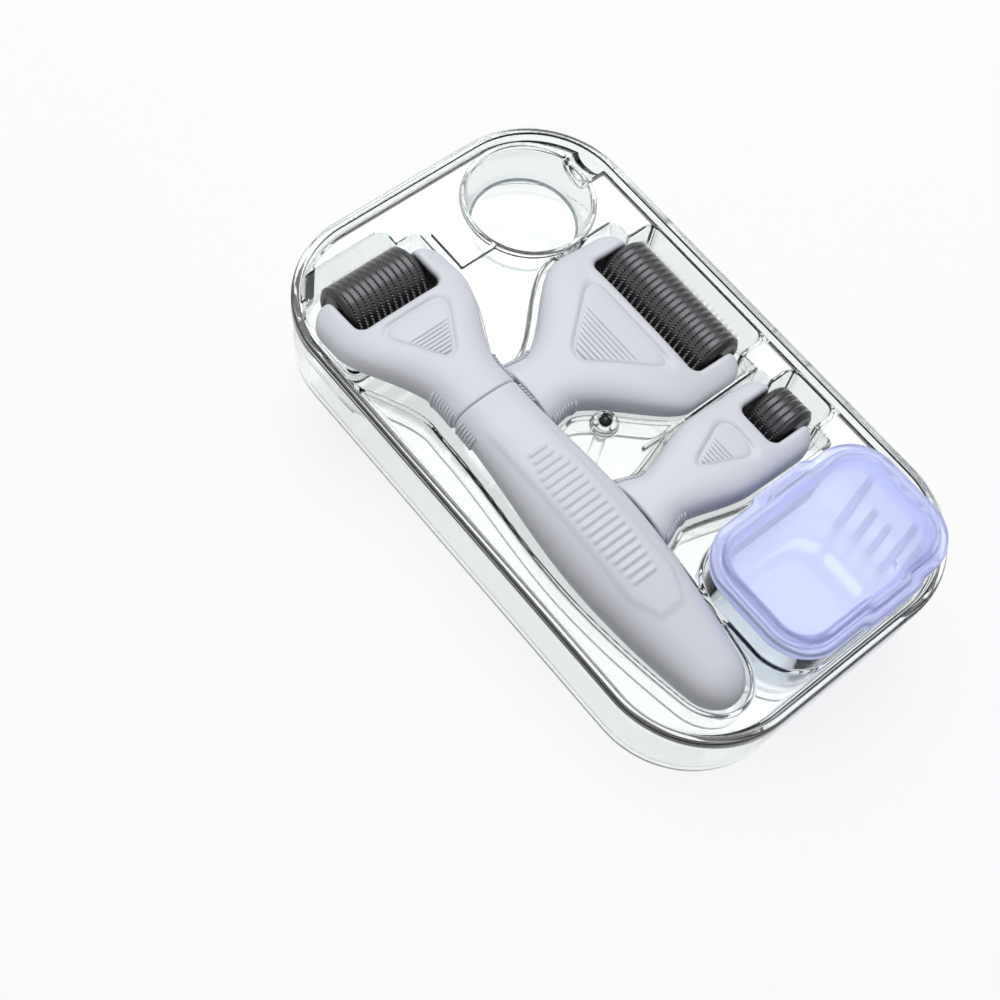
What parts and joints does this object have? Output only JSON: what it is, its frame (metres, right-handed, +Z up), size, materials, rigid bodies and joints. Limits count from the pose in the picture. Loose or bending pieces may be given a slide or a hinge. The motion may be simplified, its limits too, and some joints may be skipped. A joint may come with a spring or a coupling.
{
  "type": "derma roller set",
  "caption": "Clear case holding a roller with a needle-disc face head, spare body and eye heads, and a clear disinfecting tank with a lilac lid; drums spin and pieces lift out.",
  "frame": {"origin": "middle of the case's underside, where it rests on a table", "axes": "+Z up, +Y along the case's long side towards the face head's drum, +X towards the spare heads"},
  "size_m": [0.101, 0.17, 0.0363],
  "materials": {
    "clear_case": "clear moulded plastic",
    "clear_tray": "clear moulded plastic",
    "clear_tank": "clear moulded plastic",
    "lilac_lid": "translucent lilac plastic",
    "grey_plastic": "fine satin",
    "connector_plastic": "satin",
    "drum_plastic": "satin dark grey",
    "cap_plastic": "satin black",
    "needle_steel": "stamped steel",
    "axle_steel": "drawn steel"
  },
  "bodies": {
    "case": {"case_base": "clear_case", "case_tray": "clear_tray", "tray_post": "clear_tray"},
    "roller": {"handle_body": "grey_plastic", "handle_plug": "connector_plastic"},
    "face_head": {"face_frame": "grey_plastic", "face_axle_pin": "axle_steel"},
    "face_drum": {"face_core": "cap_plastic", "face_spacers": "drum_plastic", "face_needle_discs": "needle_steel", "face_end_caps": "cap_plastic"},
    "body_head": {"body_frame": "grey_plastic", "body_axle_pin": "axle_steel"},
    "body_drum": {"body_core": "cap_plastic", "body_spacers": "drum_plastic", "body_needle_discs": "needle_steel", "body_end_caps": "cap_plastic"},
    "eye_head": {"eye_frame": "grey_plastic", "eye_axle_pin": "axle_steel"},
    "eye_drum": {"eye_core": "cap_plastic", "eye_spacers": "drum_plastic", "eye_needle_discs": "needle_steel", "eye_end_caps": "cap_plastic"},
    "tank": {"tank": "clear_tank"},
    "lid": {"tank_lid": "lilac_lid"}
  },
  "joints": [
    {"name": "roller_lift", "type": "slide", "parent": "case", "child": "roller", "axis": [0, 0, 1], "range_m": [0, 0.06]},
    {"name": "face_head_pull", "type": "slide", "parent": "roller", "child": "face_head", "axis": [0, 1, 0], "range_m": [0, 0.00475]},
    {"name": "face_drum_spin", "type": "hinge", "parent": "face_head", "child": "face_drum", "pos_m": [-0.0275, 0.06175, 0.0237], "axis": [1, 0, 0], "continuous": true},
    {"name": "body_head_lift", "type": "slide", "parent": "case", "child": "body_head", "axis": [0, 0, 1], "range_m": [0, 0.06]},
    {"name": "body_drum_spin", "type": "hinge", "parent": "body_head", "child": "body_drum", "pos_m": [0.0338, 0.0159, 0.0186], "axis": [0, 1, 0], "continuous": true},
    {"name": "eye_head_lift", "type": "slide", "parent": "case", "child": "eye_head", "axis": [0, 0, 1], "range_m": [0, 0.06]},
    {"name": "eye_drum_spin", "type": "hinge", "parent": "eye_head", "child": "eye_drum", "pos_m": [0.0345, -0.025, 0.0186], "axis": [0, 1, 0], "continuous": true},
    {"name": "tank_lift", "type": "slide", "parent": "case", "child": "tank", "axis": [0, 0, 1], "range_m": [0, 0.06]},
    {"name": "lid_lift", "type": "slide", "parent": "tank", "child": "lid", "axis": [0, 0, 1], "range_m": [0, 0.04]}
  ]
}
